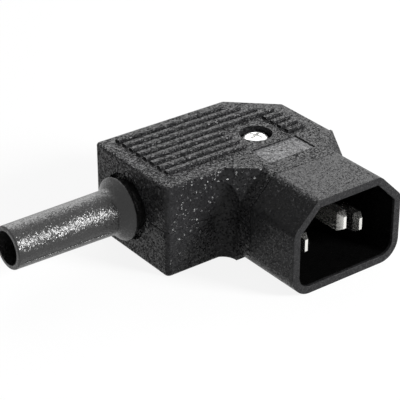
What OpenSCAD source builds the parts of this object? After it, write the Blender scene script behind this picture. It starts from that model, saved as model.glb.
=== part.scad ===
// Rewireable right-angle C14 plug: a two-shell housing round a moulded pin carrier, with a
// bend relief for a cord that leaves to the left. Millimetres, +Z up. The origin is the centre
// of the shroud's rim, the pins point along -Y and the shells meet in the plane z = 0.

/* [Shroud] */
// Width of the shroud and of the neck behind it
shroud_w = 27.2; // [26.6:0.1:29]
// Height of the shroud and of the whole housing
shroud_h = 19.8; // [19.4:0.1:21]
// Wall of the shroud
shroud_wall = 1.6; // [1.4:0.05:2]
// Leg of the chamfers on the two upper corners
shroud_chamfer = 5.6; // [4.8:0.1:6.4]
// Radius at both ends of each chamfer
chamfer_blend_r = 2.2; // [2:0.1:2.6]
// Radius of the two lower corners
shroud_low_r = 4.4; // [3.6:0.1:5.2]
// Length of the shroud that stands out of the shells
shroud_reach = 13.2; // [12:0.1:13.8]
// Depth of the socket from the rim to the web that carries the pins
cavity_depth = 17; // [16.6:0.1:17.6]
// Thickness of the web
web_t = 3.6; // [3.4:0.1:4.4]
// Step from the shroud's face down to its tongue, which is the shells' lip
lip_t = 0.8; // [0.7:0.05:0.9]
// Width of the groove that keys the carrier into the shells
key_w = 1.2; // [1:0.1:1.4]

/* [Pins] */
// Distance of the line and neutral pins from the middle
pin_offset = 7; // [6.8:0.1:7.4]
// Height of the earth pin above the middle, and of the others below it
pin_rise = 2; // [1.8:0.1:2.4]
// Width of a blade, upright
pin_w = 4; // [3.6:0.1:4.2]
// Thickness of a blade
pin_t = 2; // [1.6:0.1:2.2]
// Length of the tapered tip
pin_tip_l = 1.3; // [0.8:0.1:2]
// How far the line and neutral tips lie behind the rim
live_set_back = 4; // [3.5:0.1:5]
// How far the earth tip lies behind the rim
earth_set_back = 1; // [0.5:0.1:2]

/* [Housing] */
// Distance of the left wall from the plug's middle
arm_reach = 28; // [27:0.1:34]
// Distance of the arm's front face behind the rim
arm_front = 20.8; // [20.6:0.1:22]
// Depth of the arm, from its front face to the back wall
arm_depth = 24.6; // [24.2:0.1:30]
// Width of the cut at the back right corner
cut_w = 9.3; // [6:0.1:11]
// Depth of the cut at the back right corner
cut_d = 8.6; // [6:0.1:9.5]
// Wall of both shells
wall = 1.8; // [1.6:0.05:2]
// Radius of the upright corners
corner_r = 1; // [0.8:0.1:2]
// Radius of the edges round the top and the underside
edge_r = 0.5; // [0.3:0.05:0.8]
// Radius in the corner between the arm and the neck
neck_fillet_r = 3.5; // [2:0.1:3.8]
// Length of the neck that keeps the shroud's full chamfer
collar_l = 3.2; // [2:0.1:3.6]
// Depth of the V along the shells' joint
seam_depth = 0.15; // [0.05:0.05:0.25]

/* [Grip ribs] */
// Ribs beside the screw that run the arm's whole length
long_ribs = 4; // [2:1:4]
// Ribs in front of them, stopped short of the screw
mid_ribs = 4; // [2:1:4]
// Distance from one rib to the next
rib_pitch = 2.38; // [2:0.02:2.5]
// Width of a rib
rib_w = 1.45; // [1:0.05:1.6]
// Height of a rib
rib_h = 0.5; // [0.3:0.05:0.8]
// Distance from the left wall to the ribs
rib_margin = 3.7; // [3:0.1:6]
// Length of the ribs to the right of the screw
short_rib_l = 4.5; // [3:0.1:5]

/* [Bare panel] */
// Width of the shallow panel in front of the screw
panel_w = 11.6; // [8:0.1:14]
// Depth of that panel along the neck
panel_d = 6.3; // [4:0.1:7]
// How deep the panel lies in the top face
panel_sink = 0.25; // [0.1:0.05:0.4]

/* [Housing screw] */
// Diameter of the screw's shank
screw_d = 3; // [2.6:0.1:3.2]
// Diameter of its pan head
head_d = 5.8; // [5.2:0.1:6]
// Height of its pan head
head_h = 2.2; // [1.8:0.1:2.4]
// Diameter of the hole that the head sinks into
head_hole_d = 6.8; // [6.6:0.1:7.2]
// Depth of the head's crown below the top face
head_sink = 0.35; // [0.2:0.05:0.6]
// Length of the shank under the head
shank_l = 12; // [11.6:0.1:13]
// Outer diameter of the brass insert
insert_d = 4.2; // [4:0.1:4.6]
// Length of the brass insert
insert_l = 5.5; // [4.5:0.1:6.5]

/* [Terminals] */
// Width of a terminal block
block_w = 5; // [4.6:0.1:5.2]
// Length of a terminal block behind the web
block_l = 4.6; // [4.4:0.1:5.4]
// Height of a terminal block
block_h = 5.6; // [5.4:0.1:6]
// Diameter of the hole that takes the wire
wire_hole_d = 2.8; // [2.4:0.1:2.9]
// Diameter of a clamping screw
set_screw_d = 2.2; // [2:0.1:2.4]
// Length of the blade's tail inside its block
tail_l = 1.5; // [1.2:0.1:1.6]
// Thickness of the leaf between screw and wire
guard_t = 0.3; // [0.2:0.05:0.4]

/* [Bend relief] */
// Distance of the cord's axis behind the arm's front face
cord_from_front = 14; // [13:0.1:14.4]
// Radius of the boot's bore, for the cord
cord_r = 3.5; // [3:0.1:3.7]
// Length of the boot outside the left wall
boot_l = 27.4; // [20:0.1:40]
// Outer radius at the boot's open end
boot_end_r = 4.45; // [4.2:0.05:4.8]
// Outer radius where the bell begins
boot_root_r = 4.65; // [4.4:0.05:5]
// Radius of the bell
bell_r = 6.6; // [6:0.1:6.7]
// Distance of the bell's lip from the left wall
bell_off = 1.9; // [1.2:0.1:2.6]
// Radius of the neck that passes through the wall
boot_neck_r = 5.2; // [4.8:0.1:5.4]
// Radius of the collar that the shells hold
boot_flange_r = 6.5; // [6:0.1:6.8]
// Thickness of that collar
boot_flange_t = 1.7; // [1.2:0.1:2]
// Radius of the round recess in the left wall
recess_r = 6.9; // [6.8:0.1:7.4]
// Depth of that recess
recess_d = 1; // [0.5:0.1:1.1]

/* [Cord clamp] */
// Distance of the clamp from the left wall
clamp_from_wall = 8.5; // [7.9:0.1:10]
// Distance between the clamp's two screws
clamp_span = 12.8; // [12.6:0.1:13.6]
// Width of the bar along the cord
clamp_bar_w = 4.6; // [4:0.1:5]
// Thickness of the bar over its screws
clamp_bar_t = 2.6; // [2.4:0.1:2.8]
// Diameter of the clamp's screws
clamp_fix_d = 2.5; // [2.2:0.1:2.6]

/* [Fits] */
// Clearance between pieces that locate each other
fit = 0.05; // [0.03:0.01:0.08]
// Width of the parting line between the shroud and the shells
part_gap = 0.15; // [0.05:0.05:0.3]

/* [Hidden] */
$fn = 64;

plastic = "#2a2b2d";
rubber = "#3a3b3c";
nickel = "#d9d8d4";
brass = "#b8963f";
steel = "#c4c6c8";

half_w = shroud_w / 2;
half_h = shroud_h / 2;
arm_x = -arm_reach;
arm_back = arm_front + arm_depth;
inner_h = half_h - wall;
root = 0.5; // how far bosses reach into the wall that carries them

// Along the neck the chamfers run out between the collar's end and the arm's front face
runout_start = shroud_reach + collar_l;
runout_slope = (arm_front - runout_start) / shroud_chamfer;

// The carrier's web, and the groove round it that the shells' key fills
web_back = cavity_depth + web_t;
key_y = cavity_depth + (web_t - key_w) / 2;

// Each pin's middle in x and z, and how far its tip lies behind the rim
line_at = [-pin_offset, -pin_rise, live_set_back];
neutral_at = [pin_offset, -pin_rise, live_set_back];
earth_at = [0, pin_rise, earth_set_back];
tip_size = [0.35 * pin_t, 0.65 * pin_w];

// A terminal's block straddles its pin; the wire's hole and the set screw cross in its back
block_below = pin_w / 2 + 1;
block_above = block_h - block_below;
set_screw_y = web_back + (tail_l + block_l) / 2;
set_screw_proud = 1;
guard_top = 0.39 * wire_hole_d;
guard_w = 0.56 * wire_hole_d;
hole_start = web_back + tail_l + 0.4;
divider_t = 1.2;

// The housing screw stands just behind the earth terminal
boss_r = 3.6;
screw_x = 0.4;
screw_y = web_back + block_l + 0.4 + boss_r;
seat_z = half_h - head_sink - head_h;
head_boss_r = head_hole_d / 2 + 1;

// The cord's axis lies in the joint plane; the boot's collar sits in a block behind the wall
cord_y = arm_front + cord_from_front;
collar_in = wall + 0.6;
seat_wall = 0.9;
seat_depth = collar_in + boot_flange_t + seat_wall;
seat_half = boot_flange_r + 1.6;

// The clamp's bar lies on two bosses, one on each side of the cord
clamp_x = arm_x + clamp_from_wall;
clamp_top = 2.6;
clamp_boss_r = clamp_fix_d / 2 + 1.25;
clamp_head_d = clamp_fix_d * 1.8;
clamp_head_h = clamp_fix_d * 0.6;
clamp_shank_l = 10;
grip_r = cord_r + 0.2;

// Pegs in the base that line the shells up, in two corners of the hollow
peg_r = 1;
peg_h = 1.8;
peg_boss_r = 2;
pegs = [[arm_x + wall + 2.4, arm_front + wall + 2.4], [half_w - wall - 2.6, arm_back - cut_d - 3]];

// Where the grip ribs lie, and how far they keep from the cut corner, the screw and the right wall
rib_back = arm_back - 2.6;
rib_cut_gap = 3.3;
rib_screw_gap = 1.8;
rib_right = half_w - 3.2;

function unit(v) = v / norm(v);

// Corner i of a polygon given as [x, y, radius]: where its arc begins and ends, and its centre
function corner_at(c, i) = let (
    n = len(c),
    p = [c[i].x, c[i].y],
    before = c[(i + n - 1) % n],
    after = c[(i + 1) % n],
    a = unit([before.x, before.y] - p),
    b = unit([after.x, after.y] - p),
    half = acos(a * b) / 2
  ) [p + a * c[i].z / tan(half), p + b * c[i].z / tan(half), p + unit(a + b) * c[i].z / sin(half)];

function angle(v) = atan2(v.y, v.x);

// Points along an arc, both ends included
function arc(centre, r, from, to, steps = 8) = [for (i = [0:steps])
  let (t = from + (to - from) * i / steps) centre + r * [cos(t), sin(t)]];

// A polygon whose corners are arcs, each given as [x, y, radius]
module rounded(c) {
  polygon([for (i = [0:len(c) - 1])
    let (
      k = corner_at(c, i),
      from = angle(k[0] - k[2]),
      turn = (angle(k[1] - k[2]) - from + 540) % 360 - 180
    )
    each arc(k[2], c[i].z, from, from + turn, ceil($fn * abs(turn) / 360))]);
}

// The shroud's outline in x and z, moved inwards by a parallel distance
module plug_outline(inset = 0) {
  w = half_w - inset;
  h = half_h - inset;
  c = shroud_chamfer - inset * (2 - sqrt(2));
  low = shroud_low_r - inset;
  high = max(chamfer_blend_r - inset, 0.3);
  rounded([[-w, -h, low], [w, -h, low], [w, h - c, high], [w - c, h, high],
    [c - w, h, high], [-w, h - c, high]]);
}

// The arm's outline from above, moved inwards by a parallel distance
module arm_outline(inset = 0) {
  w = half_w - inset;
  back = arm_back - inset;
  front = arm_front + inset;
  left = arm_x + inset;
  r = max(corner_r - inset, 0.3);
  // the cut corner's edge is the line cut_d * x + cut_w * y = edge
  edge = cut_d * half_w + cut_w * (arm_back - cut_d) - inset * norm([cut_d, cut_w]);
  rounded([[left, front, r], [w, front, 0.3], [w, (edge - cut_d * w) / cut_w, r],
    [(edge - cut_w * back) / cut_d, back, r], [left, back, r]]);
}

// A drawing in x and z, carried along y from one distance to another
module along_y(from, to) {
  translate([0, to, 0]) rotate([90, 0, 0]) linear_extrude(to - from) children();
}

// A drawing of radius and distance outside the left wall, turned about the cord's axis
module about_cord() {
  translate([arm_x, cord_y, 0]) rotate([0, -90, 0]) rotate_extrude() children();
}

// Everything on one side of the joint: -1 is the base's, 1 the cover's
module half_space(side) {
  s = 200;
  translate([-s / 2, -s / 2, side > 0 ? 0 : -s]) cube(s);
}

// Half of the arm, solid, with round edges outside and half of the V along the joint
module arm_half(side) {
  skin = 0.01;
  levels = [[half_h, edge_r], [half_h - 0.3 * edge_r, 0.3 * edge_r], [half_h - edge_r, 0],
    [seam_depth, 0], [skin, seam_depth]];
  mirror([0, 0, side > 0 ? 0 : 1]) hull() for (k = levels) translate([0, 0, k[0] - skin])
    linear_extrude(skin) arm_outline(k[1], $fn = 32);
}

// What an upper corner of the neck loses where its chamfer runs out along one plane
module runout_cut() {
  s = 40;
  k = runout_slope;
  intersection() {
    translate([-half_w, arm_front, half_h]) rotate([0, 0, atan2(1, k)])
      rotate([0, atan2(k, norm([k, 1])), 0]) translate([-s, -s / 2, -s / 2]) cube(s);
    translate([-s, runout_start, 0]) cube(s);
  }
}

// The neck between the arm and the shroud, with the fillet in the corner on its left
module neck() {
  fillet_y = arm_front - neck_fillet_r;
  v = seam_depth * sqrt(2);
  difference() {
    union() {
      along_y(shroud_reach, runout_start) plug_outline();
      along_y(runout_start, arm_front) {
        plug_outline();
        translate([-half_w, 0]) square([shroud_w, half_h]);
      }
      along_y(arm_front, arm_front + edge_r) square([shroud_w, shroud_h], center = true);
      translate([0, 0, edge_r - half_h]) linear_extrude(shroud_h - edge_r) difference() {
        translate([-half_w - neck_fillet_r, fillet_y])
          square([neck_fillet_r + shroud_low_r + 1, neck_fillet_r]);
        translate([-half_w - neck_fillet_r, fillet_y]) circle(neck_fillet_r);
      }
    }
    for (side = [0, 1]) mirror([side, 0, 0]) runout_cut();
    for (x = [-half_w, half_w]) translate([x, shroud_reach - 1, 0]) rotate([0, 45, 0])
      translate([-v / 2, 0, -v / 2]) cube([v, (x < 0 ? fillet_y : arm_front) - shroud_reach + 1, v]);
  }
}

// The room for the carrier: its lip, the shells' key in its groove, its back edge, the terminals
module carrier_seat() {
  along_y(shroud_reach - 1, key_y + fit) plug_outline(lip_t - fit);
  along_y(key_y, key_y + key_w) plug_outline(wall - fit);
  along_y(key_y + key_w - fit, web_back + fit) plug_outline(lip_t - fit);
  along_y(web_back, arm_front + wall + 1) plug_outline(wall);
}

// The way through the left wall for the boot: recess, neck, groove for its collar, cord's way
module boot_seat() {
  about_cord() {
    translate([0, -recess_d]) square([recess_r, recess_d + 1]);
    translate([0, -collar_in]) square([boot_neck_r + fit, collar_in]);
    translate([0, -collar_in - boot_flange_t - fit])
      square([boot_flange_r + fit, boot_flange_t + 2 * fit]);
    translate([0, -seat_depth - 1]) square([cord_r + 0.6, seat_depth + 1]);
  }
}

// Half of the housing's skin with its hollow
module shell_half(side) {
  difference() {
    union() {
      arm_half(side);
      intersection() {
        neck();
        half_space(side);
      }
    }
    carrier_seat();
    difference() {
      translate([0, 0, -inner_h]) linear_extrude(2 * inner_h) arm_outline(wall);
      translate([arm_x, cord_y - seat_half, -half_h]) cube([seat_depth, 2 * seat_half, shroud_h]);
    }
    boot_seat();
  }
}

// A round boss on the floor of the base, up to a height
module floor_boss(at, top, r) {
  translate([at.x, at.y, -inner_h - root]) cylinder(h = top + inner_h + root, r = r);
}

module base_shell() color(plastic) difference() {
  union() {
    shell_half(-1);
    floor_boss([screw_x, screw_y], 0, boss_r);
    // trough under the cord, between the clamp's bosses
    translate([clamp_x - clamp_bar_w / 2, cord_y - clamp_span / 2, -inner_h - root])
      cube([clamp_bar_w, clamp_span, inner_h + root - cord_r / 2]);
    for (y = [-1, 1] * clamp_span / 2) floor_boss([clamp_x, cord_y + y], clamp_top, clamp_boss_r);
    for (p = pegs) {
      floor_boss(p, 0, peg_boss_r);
      floor_boss(p, peg_h, peg_r);
    }
  }
  translate([screw_x, screw_y, -insert_l]) cylinder(h = insert_l + 1, d = insert_d + 2 * fit);
  translate([clamp_x - clamp_bar_w, cord_y, 0]) rotate([0, 90, 0])
    cylinder(h = 2 * clamp_bar_w, r = grip_r);
  for (y = [-1, 1] * clamp_span / 2)
    translate([clamp_x, cord_y + y, clamp_top + clamp_bar_t - clamp_shank_l - 1])
      cylinder(h = clamp_shank_l + 1, d = clamp_fix_d + 2 * fit);
}

// One grip rib along x, with drafted flanks and soft upper edges
module grip_rib(from, to, y) {
  draft = 0.05;
  soft = 0.2;
  w = rib_w / 2;
  translate([from, y, half_h]) rotate([90, 0, 90]) linear_extrude(to - from)
    polygon([[-w, -0.1], [w, -0.1], [w - draft, rib_h - soft], [w - draft - soft, rib_h],
      [draft + soft - w, rib_h], [draft - w, rib_h - soft]]);
}

module grip_ribs() {
  left = arm_x + rib_margin;
  for (i = [0:long_ribs - 1]) {
    y = rib_back - i * rib_pitch;
    cut_x = half_w - cut_w + ((arm_back - y) * cut_w - rib_cut_gap * norm([cut_w, cut_d])) / cut_d;
    grip_rib(left, min(cut_x, rib_right), y);
  }
  for (i = [0:mid_ribs - 1]) {
    y = rib_back - (i + long_ribs) * rib_pitch;
    grip_rib(left, screw_x - head_hole_d / 2 - rib_screw_gap, y);
    grip_rib(rib_right - short_rib_l, rib_right, y);
  }
}

module cover_shell() color(plastic) difference() {
  union() {
    shell_half(1);
    grip_ribs();
    // the screw's boss stands on the base's and is wider round the head's hole
    translate([screw_x, screw_y, 0]) cylinder(h = inner_h + root, r = boss_r);
    translate([screw_x, screw_y, seat_z - 1]) cylinder(h = inner_h + root - seat_z + 1, r = head_boss_r);
    for (p = pegs) translate(p) cylinder(h = inner_h + root, r = peg_boss_r);
  }
  translate([screw_x, screw_y, -1]) cylinder(h = shroud_h, d = screw_d + 0.4);
  translate([screw_x, screw_y, seat_z]) cylinder(h = half_h, d = head_hole_d);
  for (p = pegs) translate([p.x, p.y, -1]) cylinder(h = peg_h + 1.4, r = peg_r + fit);
  translate([screw_x - panel_w / 2, arm_front - panel_d / 2 - 0.3, half_h - panel_sink])
    cube([panel_w, panel_d, 1]);
}

module contact_carrier() color(plastic) difference() {
  union() {
    along_y(0, shroud_reach - part_gap) plug_outline();
    along_y(1, key_y) plug_outline(lip_t);
    along_y(1, web_back) plug_outline(wall);
    along_y(key_y + key_w, web_back) plug_outline(lip_t);
    // walls that keep the terminals apart
    for (side = [-1, 1])
      translate([(side * pin_offset - divider_t) / 2, web_back - root, 1 - inner_h])
        cube([divider_t, block_l + root, 2 * inner_h - 2]);
  }
  along_y(-1, cavity_depth) plug_outline(shroud_wall);
  for (pin = [line_at, neutral_at, earth_at]) pin_slot(pin, web_back + 1);
}

// The slot that a blade passes through or sits in, up to a distance behind the rim
module pin_slot(pin, to) {
  translate([pin.x - pin_t / 2 - fit, 1, pin.y - pin_w / 2 - fit])
    cube([pin_t + 2 * fit, to - 1, pin_w + 2 * fit]);
}

// A flat blade with a tapered tip; its tail sits in the terminal's slot
module blade(pin) {
  shoulder = pin.z + pin_tip_l;
  translate([pin.x - pin_t / 2, shoulder, pin.y - pin_w / 2])
    cube([pin_t, web_back + tail_l - shoulder, pin_w]);
  hull() {
    translate([pin.x - tip_size.x / 2, pin.z, pin.y - tip_size.y / 2])
      cube([tip_size.x, pin_tip_l, tip_size.y]);
    translate([pin.x - pin_t / 2, shoulder, pin.y - pin_w / 2]) cube([pin_t, 0.1, pin_w]);
  }
}

module line_pin() color(nickel) blade(line_at);
module neutral_pin() color(nickel) blade(neutral_at);
module earth_pin() color(nickel) blade(earth_at);

// Pillar terminal: slot for the blade in front, hole for the wire behind, set screw from above
module pillar(pin) {
  difference() {
    translate([pin.x - block_w / 2, web_back, pin.y - block_below]) cube([block_w, block_l, block_h]);
    pin_slot(pin, web_back + tail_l + fit);
    along_y(hole_start, web_back + block_l + 1) translate([pin.x, pin.y]) circle(d = wire_hole_d);
    translate([pin.x, set_screw_y, pin.y]) cylinder(h = block_h, d = set_screw_d + 2 * fit);
  }
}

module line_terminal() color(brass) pillar(line_at);
module neutral_terminal() color(brass) pillar(neutral_at);
module earth_terminal() color(brass) pillar(earth_at);

// Slotted set screw, its tip on the leaf
module set_screw(pin) {
  length = block_above + set_screw_proud - guard_top;
  translate([pin.x, set_screw_y, pin.y + guard_top]) difference() {
    cylinder(h = length, d = set_screw_d);
    translate([-set_screw_d, -0.25, length - 0.7]) cube([2 * set_screw_d, 0.5, 1]);
  }
}

module line_terminal_screw() color(steel) set_screw(line_at);
module neutral_terminal_screw() color(steel) set_screw(neutral_at);
module earth_terminal_screw() color(steel) set_screw(earth_at);

// Leaf under the top of the wire's hole, which keeps the screw off the strands
module leaf(pin) {
  translate([pin.x - guard_w / 2, hole_start + fit, pin.y + guard_top - guard_t])
    cube([guard_w, web_back + block_l - hole_start - fit, guard_t]);
}

module line_wire_guard() color(steel) leaf(line_at);
module neutral_wire_guard() color(steel) leaf(neutral_at);
module earth_wire_guard() color(steel) leaf(earth_at);

module cord_clamp_bar() color(plastic) difference() {
  translate([clamp_x, cord_y, clamp_top]) linear_extrude(clamp_bar_t) {
    square([clamp_bar_w, clamp_span], center = true);
    for (y = [-1, 1] * clamp_span / 2) translate([0, y]) circle(d = clamp_bar_w);
  }
  translate([clamp_x - clamp_bar_w, cord_y, 0]) rotate([0, 90, 0])
    cylinder(h = 2 * clamp_bar_w, r = grip_r);
  for (y = [-1, 1] * clamp_span / 2) translate([clamp_x, cord_y + y, clamp_top - 1])
    cylinder(h = clamp_bar_t + 2, d = clamp_fix_d + 0.3);
}

// Pan-head screw, with a crossed recess, standing on its seat
module pan_screw(seat, shank_d, length, head_d, head_h) {
  rim = 0.4 * head_h;
  wing = 0.13 * head_d;
  translate(seat) difference() {
    union() {
      translate([0, 0, -length]) cylinder(h = length + 0.1, d = shank_d);
      rotate_extrude() polygon(concat([[0, 0], [head_d / 2, 0]],
        [for (t = [0:10:90]) [head_d / 2 * cos(t), rim + (head_h - rim) * sin(t)]]));
    }
    for (turn = [0, 90]) rotate([0, 0, turn + 20])
      translate([-head_d * 0.27, -wing / 2, 0.45 * head_h]) cube([head_d * 0.54, wing, head_h]);
  }
}

module front_clamp_screw() color(steel) pan_screw([clamp_x, cord_y - clamp_span / 2,
  clamp_top + clamp_bar_t], clamp_fix_d, clamp_shank_l, clamp_head_d, clamp_head_h);
module rear_clamp_screw() color(steel) pan_screw([clamp_x, cord_y + clamp_span / 2,
  clamp_top + clamp_bar_t], clamp_fix_d, clamp_shank_l, clamp_head_d, clamp_head_h);
module housing_screw() color(steel)
  pan_screw([screw_x, screw_y, seat_z], screw_d, shank_l, head_d, head_h);

module threaded_insert() color(brass) translate([screw_x, screw_y, -insert_l]) difference() {
  cylinder(h = insert_l, d = insert_d);
  translate([0, 0, -1]) cylinder(h = insert_l + 2, d = screw_d + 2 * fit);
}

// Soft boot: collar held by the shells, neck, bell outside the wall, slightly tapered tube
module bend_relief() color(rubber) {
  lip = 0.45;
  sweep = 2;
  end_r = 0.35;
  // the bell's flank falls at 45 degrees between the sweep and the lip
  sweep_s = bell_r + bell_off + (lip + sweep) * sqrt(2) - lip - sweep - boot_root_r;
  about_cord() polygon(concat(
    [[cord_r, boot_l]],
    arc([boot_end_r - end_r, boot_l - end_r], end_r, 90, 0, 4),
    arc([boot_root_r + sweep, sweep_s], sweep, 180, 225, 6),
    arc([bell_r - lip, bell_off], lip, 45, -90, 6),
    [[boot_neck_r, bell_off - lip - 0.4], [boot_neck_r, -collar_in], [boot_flange_r, -collar_in],
      [boot_flange_r, -collar_in - boot_flange_t], [cord_r, -collar_in - boot_flange_t]]));
}

base_shell();
cover_shell();
contact_carrier();
line_pin();
neutral_pin();
earth_pin();
line_terminal();
neutral_terminal();
earth_terminal();
line_terminal_screw();
neutral_terminal_screw();
earth_terminal_screw();
line_wire_guard();
neutral_wire_guard();
earth_wire_guard();
cord_clamp_bar();
front_clamp_screw();
rear_clamp_screw();
bend_relief();
housing_screw();
threaded_insert();
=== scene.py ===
# %% [markdown]
# ## The imported plug
#
# The plug comes from the CAD model as separate solids, already in place, in metres, and not one
# of them is moved. The shroud's rim is at the origin, the pins point along -Y, the cord would
# leave along -X and +Z is up. What Blender adds is the finish of each surface and what moulding
# leaves on the soft boot. The whole box is measured here. The added pieces may not make the plug
# bigger.

# %% Load the model
import math

import bmesh
import bpy
import numpy as np
from mathutils import Matrix, Vector


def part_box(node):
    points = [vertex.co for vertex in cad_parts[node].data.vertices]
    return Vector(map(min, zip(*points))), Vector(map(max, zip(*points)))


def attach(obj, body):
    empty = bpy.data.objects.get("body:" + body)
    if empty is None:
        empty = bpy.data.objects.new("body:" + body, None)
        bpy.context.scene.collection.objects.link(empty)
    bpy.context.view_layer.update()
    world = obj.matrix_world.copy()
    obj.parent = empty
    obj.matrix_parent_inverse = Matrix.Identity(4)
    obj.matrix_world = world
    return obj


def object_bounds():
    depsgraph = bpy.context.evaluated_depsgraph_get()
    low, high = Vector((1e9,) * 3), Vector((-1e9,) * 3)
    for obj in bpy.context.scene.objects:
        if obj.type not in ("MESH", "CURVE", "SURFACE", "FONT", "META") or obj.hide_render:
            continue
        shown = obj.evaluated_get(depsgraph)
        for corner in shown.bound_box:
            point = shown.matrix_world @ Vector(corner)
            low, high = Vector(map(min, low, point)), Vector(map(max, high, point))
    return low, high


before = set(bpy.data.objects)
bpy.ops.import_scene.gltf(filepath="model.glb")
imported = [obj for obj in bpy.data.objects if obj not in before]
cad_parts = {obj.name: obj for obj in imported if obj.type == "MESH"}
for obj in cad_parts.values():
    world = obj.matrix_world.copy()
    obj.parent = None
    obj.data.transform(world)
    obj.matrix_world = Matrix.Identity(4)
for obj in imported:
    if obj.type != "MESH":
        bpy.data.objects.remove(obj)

MM = 0.001
box_before = [[float(x) for x in corner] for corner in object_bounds()]
floor_z = box_before[0][2]
print("CAD box in mm:", [[round(x / MM, 2) for x in corner] for corner in box_before])

# %% [markdown]
# ## The camera
#
# A camera's turn follows from its back vector, which points from what it sees to the camera:
# azimuth turns it about the vertical from looking along +Y, and elevation raises it. A long lens
# far away keeps the upright edges nearly parallel, as product pictures do, and it needs no
# shift, so that other views of the plug are framed as well as this one.

# %% Place the camera
SENSOR_MM = 36.0
CLIP_START = 0.01


def back_vector(azimuth, elevation):
    """Unit vector from the object to a camera at that azimuth and elevation, in degrees."""
    a, e = math.radians(azimuth), math.radians(elevation)
    return Vector((math.sin(a) * math.cos(e), -math.cos(a) * math.cos(e), math.sin(e)))


def add_camera(azimuth, elevation, lens, place):
    """A camera without roll: right is level, up is back x right, and the columns are its axes."""
    back = back_vector(azimuth, elevation)
    right = Vector((math.cos(math.radians(azimuth)), math.sin(math.radians(azimuth)), 0))
    up = back.cross(right)
    camera = bpy.data.objects.new("camera", bpy.data.cameras.new("camera"))
    bpy.context.collection.objects.link(camera)
    axes = Matrix((right, up, back)).transposed().to_4x4()
    camera.matrix_world = Matrix.Translation(place) @ axes
    camera.data.sensor_width = SENSOR_MM
    camera.data.lens = lens
    camera.data.clip_start = CLIP_START
    return camera


camera = add_camera(azimuth=-36.89, elevation=29.04, lens=142.9,
                    place=Vector((-181.66, -194.5, 154.4)) * MM)
bpy.context.scene.camera = camera
print("camera at", [round(x / MM, 1) for x in camera.matrix_world.translation], "mm")

# %% [markdown]
# ## Colours, nodes and meshes
#
# Every colour is written as a hex value, which is how it looks on a screen. Blender works with
# linear light, so one function turns it. Small functions start a material, add a shader node
# with its inputs set or linked, and put a mesh into the scene, so that each section below reads
# like a list of steps.

# %% Colour, node and mesh helpers
def linear(hex_colour, alpha=1.0):
    """sRGB hex to linear: c / 12.92 below 0.04045, otherwise ((c + 0.055) / 1.055) to the 2.4."""
    h = hex_colour.lstrip("#")
    srgb = np.array([int(h[i:i + 2], 16) / 255 for i in (0, 2, 4)])
    low = srgb <= 0.04045
    return (*np.where(low, srgb / 12.92, ((srgb + 0.055) / 1.055) ** 2.4).tolist(), alpha)


def empty_material(name):
    """A new material and its node tree, with no nodes in it."""
    material = bpy.data.materials.new(name)
    material.use_nodes = True
    material.node_tree.nodes.clear()
    return material, material.node_tree


def add_mesh(name, points, faces):
    """A new mesh object at the origin, from its points in metres and its faces."""
    mesh = bpy.data.meshes.new(name)
    mesh.from_pydata(points, [], faces)
    thing = bpy.data.objects.new(name, mesh)
    bpy.context.collection.objects.link(thing)
    return thing


def add_node(tree, kind, settings=None, **inputs):
    """Adds a node. An input, named by a word or by i and its number, is a value or a socket."""
    node = tree.nodes.new(kind)
    for name, value in (settings or {}).items():
        setattr(node, name, value)
    for name, value in inputs.items():
        key = int(name[1:]) if name[1:].isdigit() else name.replace("_", " ")
        if isinstance(value, bpy.types.NodeSocket):
            tree.links.new(value, node.inputs[key])
        else:
            node.inputs[key].default_value = value
    return node


def seen_directly(tree):
    """1 for camera, glossy and transmission rays, and 0 for those that only carry light."""
    path = add_node(tree, "ShaderNodeLightPath")
    seen = add_node(tree, "ShaderNodeMath", {"operation": "MAXIMUM"},
                    i0=path.outputs["Is Camera Ray"], i1=path.outputs["Is Glossy Ray"])
    return add_node(tree, "ShaderNodeMath", {"operation": "MAXIMUM"}, i0=seen.outputs[0],
                    i1=path.outputs["Is Transmission Ray"]).outputs[0]


# %% [markdown]
# ## Spark-eroded plastic
#
# The housing is a black, flame-retardant nylon. Its mould is eroded by sparks, and each spark
# leaves a small crater, so the moulding is covered in grains of about 0.3 mm, each tilted its own
# way, that catch the light one by one. A Voronoi texture gives each grain a random vector c. With
# d = c - 1/2 on each axis, the grain's normal is n + tilt * d * |d|, made unit length, so that
# most grains hardly lean and a few lean a lot. Finer noise roughens each grain. A Bevel node
# rounds the normal at the sharp edges, as the mould's own edges are, by a fraction of a
# millimetre. The carrier and the boot come from smoother moulds, so their grains lean less.
#
# Two places get painted light, and a mask in the plug's own coordinates picks out each: the
# bare panel in front of the screw is painted paler as a painted sheen, and the deep socket round
# the pins is painted near black with almost no specular as a painted shade.

# %% Plastic and rubber finishes
HALF = (0.5, 0.5, 0.5)
SHEEN_PANEL_MM = ((-5.4, 17.4, 9.5), (6.2, 23.6, 9.8))
SHADED_SOCKET_MM = ((-12.5, 0.6, -8.8), (12.5, 17.5, 8.8))
SHADED_SOCKET_SLANT = 16.7 * MM
FINE_DEPTH = 0.03 * MM
CLOUD = 6 * MM


def in_box(tree, place, low_mm, high_mm):
    """1 inside a box and 0 outside: |p - centre| is below half the box's size on each axis."""
    low, high = Vector(low_mm) * MM, Vector(high_mm) * MM
    away = add_node(tree, "ShaderNodeVectorMath", {"operation": "SUBTRACT"}, i0=place,
                    i1=(low + high) / 2)
    away = add_node(tree, "ShaderNodeVectorMath", {"operation": "ABSOLUTE"}, i0=away.outputs[0])
    parts = add_node(tree, "ShaderNodeSeparateXYZ", i0=away.outputs[0])
    inside = None
    for axis, reach in enumerate((high - low) / 2):
        one = add_node(tree, "ShaderNodeMath", {"operation": "LESS_THAN"},
                       i0=parts.outputs[axis], i1=reach).outputs[0]
        inside = one if inside is None else add_node(
            tree, "ShaderNodeMath", {"operation": "MULTIPLY"}, i0=inside, i1=one).outputs[0]
    return inside


def painted_panel_sheen(tree, place):
    """1 on the shallow bare panel in the top face, which gets a paler painted sheen."""
    return in_box(tree, place, *SHEEN_PANEL_MM)


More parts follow.
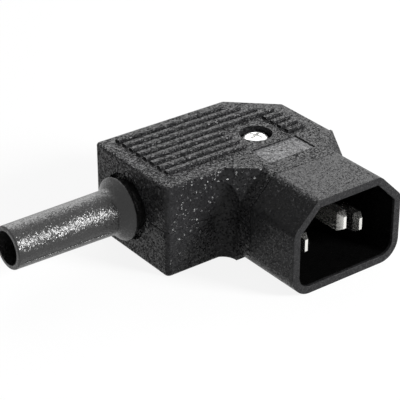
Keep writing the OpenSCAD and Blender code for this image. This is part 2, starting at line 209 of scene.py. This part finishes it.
def painted_socket_shade(tree, place):
    """1 in the socket, where painted shade goes: a box whose upper corners are cut off where |x|
    + z passes the slant.
    """
    box = in_box(tree, place, *SHADED_SOCKET_MM)
    parts = add_node(tree, "ShaderNodeSeparateXYZ", i0=place)
    across = add_node(tree, "ShaderNodeMath", {"operation": "ABSOLUTE"}, i0=parts.outputs["X"])
    slant = add_node(tree, "ShaderNodeMath", {"operation": "ADD"}, i0=across.outputs[0],
                     i1=parts.outputs["Z"])
    under = add_node(tree, "ShaderNodeMath", {"operation": "LESS_THAN"}, i0=slant.outputs[0],
                     i1=SHADED_SOCKET_SLANT)
    return add_node(tree, "ShaderNodeMath", {"operation": "MULTIPLY"}, i0=box,
                    i1=under.outputs[0]).outputs[0]


def moulded_finish(name, colour, grain_mm, tilt, roughness, specular, edge_mm, painted_light_patches=()):
    """Moulded surface with tilted grains of grain_mm. A painted light patch is (mask, its painted
    colour, specular).
    """
    material, tree = empty_material(name)
    place = add_node(tree, "ShaderNodeTexCoord").outputs["Object"]
    edge = add_node(tree, "ShaderNodeBevel", {"samples": 4}, Radius=edge_mm * MM)
    grain = add_node(tree, "ShaderNodeTexVoronoi", Vector=place, Scale=1 / (grain_mm * MM))
    lean = add_node(tree, "ShaderNodeVectorMath", {"operation": "SUBTRACT"},
                    i0=grain.outputs["Color"], i1=HALF)
    size = add_node(tree, "ShaderNodeVectorMath", {"operation": "ABSOLUTE"}, i0=lean.outputs[0])
    lean = add_node(tree, "ShaderNodeVectorMath", {"operation": "MULTIPLY"}, i0=lean.outputs[0],
                    i1=size.outputs[0])
    lean = add_node(tree, "ShaderNodeVectorMath", {"operation": "SCALE"}, i0=lean.outputs[0],
                    Scale=tilt)
    lean = add_node(tree, "ShaderNodeVectorMath", {"operation": "ADD"}, i0=lean.outputs[0],
                    i1=edge.outputs["Normal"])
    lean = add_node(tree, "ShaderNodeVectorMath", {"operation": "NORMALIZE"}, i0=lean.outputs[0])
    fine = add_node(tree, "ShaderNodeTexNoise", Vector=place, Scale=2 / (grain_mm * MM))
    rough = add_node(tree, "ShaderNodeBump", Height=fine.outputs["Fac"], Strength=0.5,
                     Distance=FINE_DEPTH, Normal=lean.outputs[0])
    cloud = add_node(tree, "ShaderNodeTexNoise", Vector=place, Scale=1 / CLOUD, Detail=2.0)
    tone = add_node(tree, "ShaderNodeMix", {"data_type": "RGBA"}, i0=cloud.outputs["Fac"],
                    i6=linear(colour[0]), i7=linear(colour[1])).outputs[2]
    gloss = specular
    for mask, painted_colour, painted_specular in painted_light_patches:
        inside = mask(tree, place)
        tone = add_node(tree, "ShaderNodeMix", {"data_type": "RGBA"}, i0=inside, i6=tone,
                        i7=linear(painted_colour)).outputs[2]
        gloss = add_node(tree, "ShaderNodeMix", i0=inside, i2=gloss, i3=painted_specular).outputs[0]
    shader = add_node(tree, "ShaderNodeBsdfPrincipled", Base_Color=tone, Roughness=roughness,
                      Normal=rough.outputs["Normal"], IOR=1.5, Specular_IOR_Level=gloss)
    add_node(tree, "ShaderNodeOutputMaterial", Surface=shader.outputs["BSDF"])
    return material


# Painted sheen: the bare panel is painted a paler grey #5e5e5f with a little more specular.
eroded_nylon = moulded_finish("spark_eroded_nylon", ("#1b1b1c", "#212122"), grain_mm=0.3,
                              tilt=2.7, roughness=0.26, specular=0.11, edge_mm=0.15,
                              painted_light_patches=((painted_panel_sheen, "#5e5e5f", 0.14),))
# Painted shade: the deep socket round the pins is painted near black #060606 with almost no
# specular.
smooth_nylon = moulded_finish("smooth_nylon", ("#1b1b1c", "#202021"), grain_mm=0.24, tilt=1.4,
                              roughness=0.3, specular=0.1, edge_mm=0.2,
                              painted_light_patches=((painted_socket_shade, "#060606", 0.02),))
soft_pvc = moulded_finish("soft_pvc", ("#1b1b1b", "#202020"), grain_mm=0.2, tilt=1.0,
                          roughness=0.3, specular=0.5, edge_mm=0.1)

# %% [markdown]
# ## Metal finishes
#
# The pins are brass, nickel plated and then polished by every socket they enter, so they are
# bright with faint lengthwise rubbing. The screws are steel with a clear zinc coat. Terminals
# and insert are drawn brass. A metal is a Principled shader with Metallic at 1 and its colour
# as the base colour; a stretched noise gives the rubbing marks.

# %% Metals
def metal_finish(name, colour, roughness, mark_mm, depth_mm, stretch):
    """Metal with fine marks: noise whose scale is divided by stretch along the rubbed axis."""
    material, tree = empty_material(name)
    place = add_node(tree, "ShaderNodeTexCoord").outputs["Object"]
    along = add_node(tree, "ShaderNodeMapping", Vector=place, Scale=(1, 1 / stretch, 1))
    marks = add_node(tree, "ShaderNodeTexNoise", Vector=along.outputs["Vector"],
                     Scale=1 / (mark_mm * MM), Detail=2.0)
    bump = add_node(tree, "ShaderNodeBump", Height=marks.outputs["Fac"], Strength=0.6,
                    Distance=depth_mm * MM)
    shine = add_node(tree, "ShaderNodeMapRange", Value=marks.outputs["Fac"], From_Min=0.3,
                     From_Max=0.7, To_Min=roughness * 0.8, To_Max=roughness * 1.25)
    shader = add_node(tree, "ShaderNodeBsdfPrincipled", Base_Color=linear(colour), Metallic=1.0,
                      Roughness=shine.outputs["Result"], Normal=bump.outputs["Normal"])
    add_node(tree, "ShaderNodeOutputMaterial", Surface=shader.outputs["BSDF"])
    return material


nickel_plate = metal_finish("polished_nickel_plate", "#efeeea", roughness=0.24, mark_mm=0.3,
                            depth_mm=0.004, stretch=8)
zinc_plate = metal_finish("clear_zinc_plate", "#f4f4f3", roughness=0.34, mark_mm=0.4,
                          depth_mm=0.006, stretch=1)
drawn_brass = metal_finish("drawn_brass", "#c9a95a", roughness=0.3, mark_mm=0.3,
                           depth_mm=0.006, stretch=4)

# %% [markdown]
# ## A finish for every solid
#
# Each CAD solid keeps its own mesh and gets its finish through its material slot. Names are
# matched by their last word, because a screw is a screw wherever it sits.

# %% Give the solids their finish
FINISH_BY_LAST_WORD = {"shell": eroded_nylon, "carrier": smooth_nylon, "bar": eroded_nylon,
                       "relief": soft_pvc, "pin": nickel_plate, "terminal": drawn_brass,
                       "insert": drawn_brass, "screw": zinc_plate, "guard": zinc_plate}
for name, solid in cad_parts.items():
    solid.data.materials.clear()
    solid.data.materials.append(FINISH_BY_LAST_WORD[name.split("_")[-1]])
print(len(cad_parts), "solids have a finish")

# %% [markdown]
# ## Mould lines of the boot
#
# The soft boot comes out of a mould in two halves, which leaves a fine raised line along each
# side, and a small nub where the material flowed in. In cylinder coordinates about the cord's
# axis, the line keeps one angle while its radius follows the boot's slight taper. Its section is
# a half ellipse that starts just under the rubber's surface, and its height fades at both ends.

# %% Boot's mould lines
BOOT_LOW, BOOT_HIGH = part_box("bend_relief")
AXIS_Y = (BOOT_LOW[1] + BOOT_HIGH[1]) / 2
OPEN_END = BOOT_LOW[0] + 0.5 * MM
BELL_END = OPEN_END + 21.0 * MM
END_RADIUS = 4.45 * MM
ROOT_RADIUS = 4.64 * MM
LINE_WIDTH = 0.3 * MM
LINE_HEIGHT = 0.16 * MM
LINE_SUNK = 0.05 * MM
END_FADE, FADE_RATE = 0.3, 8
FRONT_ANGLE = -25.0
NUB_X = -41.5 * MM
NUB_RADIUS = 0.55 * MM
NUB_PROUD = 0.02 * MM
NUB_FLAT = 0.5
NUB_SWEEP = 110


def out_and_side(angle):
    """Unit vectors out from the cord's axis at that angle, in degrees above -Y, and across it."""
    turn = math.radians(angle)
    return (np.array((0.0, -math.cos(turn), math.sin(turn))),
            np.array((0.0, math.sin(turn), math.cos(turn))))


def band_faces(rows, columns):
    """Four-sided faces between the rows of a grid whose last column meets its first."""
    index = np.arange(rows * columns).reshape(rows, columns)
    ahead = np.roll(index, -1, axis=1)
    return np.stack((index[:-1], ahead[:-1], ahead[1:], index[1:]), axis=-1).reshape(-1, 4)


def mould_line(name, angle, stations=40, steps=6):
    """Ridge along the boot. At share s of its length and phase p of its half ellipse a point is
    axis(s) + out * (radius(s) + height * fade(s) * sin p) + side * half the width * cos p."""
    out, side = out_and_side(angle)
    share, phase = np.meshgrid(np.linspace(0.0, 1.0, stations),
                               np.linspace(0.0, math.pi, steps + 1), indexing="ij")
    fade = np.minimum(1.0, FADE_RATE * np.minimum(share, 1 - share) + END_FADE)
    radius = END_RADIUS + share * (ROOT_RADIUS - END_RADIUS) - LINE_SUNK
    away = radius + (LINE_HEIGHT + LINE_SUNK) * fade * np.sin(phase)
    across = LINE_WIDTH / 2 * np.cos(phase)
    points = away[..., None] * out + across[..., None] * side
    points += np.stack((OPEN_END + share * (BELL_END - OPEN_END), np.full_like(share, AXIS_Y),
                        np.zeros_like(share)), axis=-1)
    first, last = np.arange(steps + 1), np.arange(steps + 1) + (stations - 1) * (steps + 1)
    faces = band_faces(stations, steps + 1).tolist() + [first[::-1].tolist(), last.tolist()]
    return add_mesh(name, points.reshape(-1, 3).tolist(), faces)


def gate_nub(name, x, angle, radius, rings=6, around=16):
    """Flat dome on the boot. On ring a and at turn b a point is centre + radius * (flat * cos a
    * out + sin a * (cos b * along + sin b * side)): a squashed sphere, swept past its half."""
    out, side = out_and_side(angle)
    along = np.array((1.0, 0.0, 0.0))
    centre = x * along + (0.0, AXIS_Y, 0.0) + out * (END_RADIUS + NUB_PROUD)
    a, b = np.meshgrid(math.radians(NUB_SWEEP) * np.arange(1, rings + 1) / rings,
                       2 * math.pi * np.arange(around) / around, indexing="ij")
    a, b = a[..., None], b[..., None]
    dome = centre + radius * (NUB_FLAT * np.cos(a) * out
                              + np.sin(a) * (np.cos(b) * along + np.sin(b) * side))
    points = np.vstack((centre + radius * NUB_FLAT * out, dome.reshape(-1, 3)))
    first = 1 + np.arange(around)
    top = np.stack((0 * first, first, np.roll(first, -1)), axis=-1)
    bands = 1 + band_faces(rings, around)[:, [0, 3, 2, 1]]
    bottom = first[::-1] + (rings - 1) * around
    return add_mesh(name, points.tolist(), top.tolist() + bands.tolist() + [bottom.tolist()])


def face_outward(piece):
    """Turns every face of a closed mesh outward and shades it smooth."""
    work = bmesh.new()
    work.from_mesh(piece.data)
    bmesh.ops.recalc_face_normals(work, faces=work.faces)
    work.to_mesh(piece.data)
    work.free()
    piece.data.polygons.foreach_set("use_smooth", [True] * len(piece.data.polygons))


for piece in (mould_line("boot_mould_line_front", FRONT_ANGLE),
              mould_line("boot_mould_line_rear", FRONT_ANGLE + 180),
              gate_nub("boot_gate_nub", NUB_X, FRONT_ANGLE, NUB_RADIUS)):
    face_outward(piece)
    piece.data.materials.append(soft_pvc)
    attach(piece, "root")
    print(piece.name, len(piece.data.polygons), "faces")

# %% [markdown]
# ## Light
#
# The plug lies on a white table in a light tent: a broad soft box behind on the right lights the
# top faces at a grazing angle, and a small one in front on the right makes the boot's flank shine
# and picks out single grains. A weak one above fills in. The world is white for the camera and in
# reflections, and dim for the light that it sheds. Sizes and distances are in metres, powers in
# watts.

# %% Lamps and world
WORLD_LIGHT = 0.2
WHITE = (1, 1, 1, 1)


def soft_box(name, target_mm, direction, distance, size, power):
    """Area lamp at target + direction * distance, whose -Z axis points back at the target."""
    lamp = bpy.data.lights.new(name, "AREA")
    lamp.shape, lamp.size, lamp.size_y, lamp.energy = "RECTANGLE", size[0], size[1], power
    holder = bpy.data.objects.new(name, lamp)
    bpy.context.collection.objects.link(holder)
    way = Vector(direction).normalized()
    holder.matrix_world = (Matrix.Translation(Vector(target_mm) * MM + way * distance)
                           @ way.to_track_quat("Z", "Y").to_matrix().to_4x4())


soft_box("box_above", target_mm=(0, 20, 0), direction=(0.1, 0.35, 1.0), distance=0.6,
         size=(0.5, 0.5), power=0.4)
soft_box("box_behind_right", target_mm=(-10, 20, 0), direction=(0.525, 0.7, 0.485), distance=0.7,
         size=(0.7, 0.45), power=3.3)
soft_box("box_front_right", target_mm=(-35, 25, 0), direction=(0.5, -0.72, 0.4), distance=0.5,
         size=(0.13, 0.13), power=4.6)

world = bpy.data.worlds.new("tent")
world.use_nodes = True
bpy.context.scene.world = world
tree = world.node_tree
tree.nodes.clear()
strength = add_node(tree, "ShaderNodeMapRange", Value=seen_directly(tree), To_Min=WORLD_LIGHT,
                    To_Max=1.0)
sky = add_node(tree, "ShaderNodeBackground", Color=WHITE, Strength=strength.outputs["Result"])
add_node(tree, "ShaderNodeOutputWorld", Surface=sky.outputs["Background"])
bpy.context.scene.view_settings.view_transform = "Standard"

# %% [markdown]
# ## The table
#
# A large flat sheet just under the plug. For the camera and in reflections it is mostly a plain
# white glow, so it runs into the background without an edge, and partly a white surface that
# takes light, so a faint shadow still shows where the plug stands.

# %% Table
TABLE_HALF = 3.0
TABLE_GAP = 0.02 * MM
GLOW_SHARE = 0.88
PAPER = (0.85, 0.85, 0.85, 1)


def square(name, half, z):
    """Square of side 2 * half at height z."""
    corners = [(-half, -half, z), (half, -half, z), (half, half, z), (-half, half, z)]
    return add_mesh(name, corners, [(0, 1, 2, 3)])


table = square("table", TABLE_HALF, floor_z - TABLE_GAP)
paper, tree = empty_material("white_paper")
surface = add_node(tree, "ShaderNodeBsdfDiffuse", Color=PAPER)
glow = add_node(tree, "ShaderNodeEmission", Color=WHITE, Strength=1.0)
share = add_node(tree, "ShaderNodeMapRange", Value=seen_directly(tree), To_Min=0.0,
                 To_Max=GLOW_SHARE)
both = add_node(tree, "ShaderNodeMixShader", i0=share.outputs["Result"],
                i1=surface.outputs["BSDF"], i2=glow.outputs["Emission"])
add_node(tree, "ShaderNodeOutputMaterial", Surface=both.outputs["Shader"])
table.data.materials.append(paper)
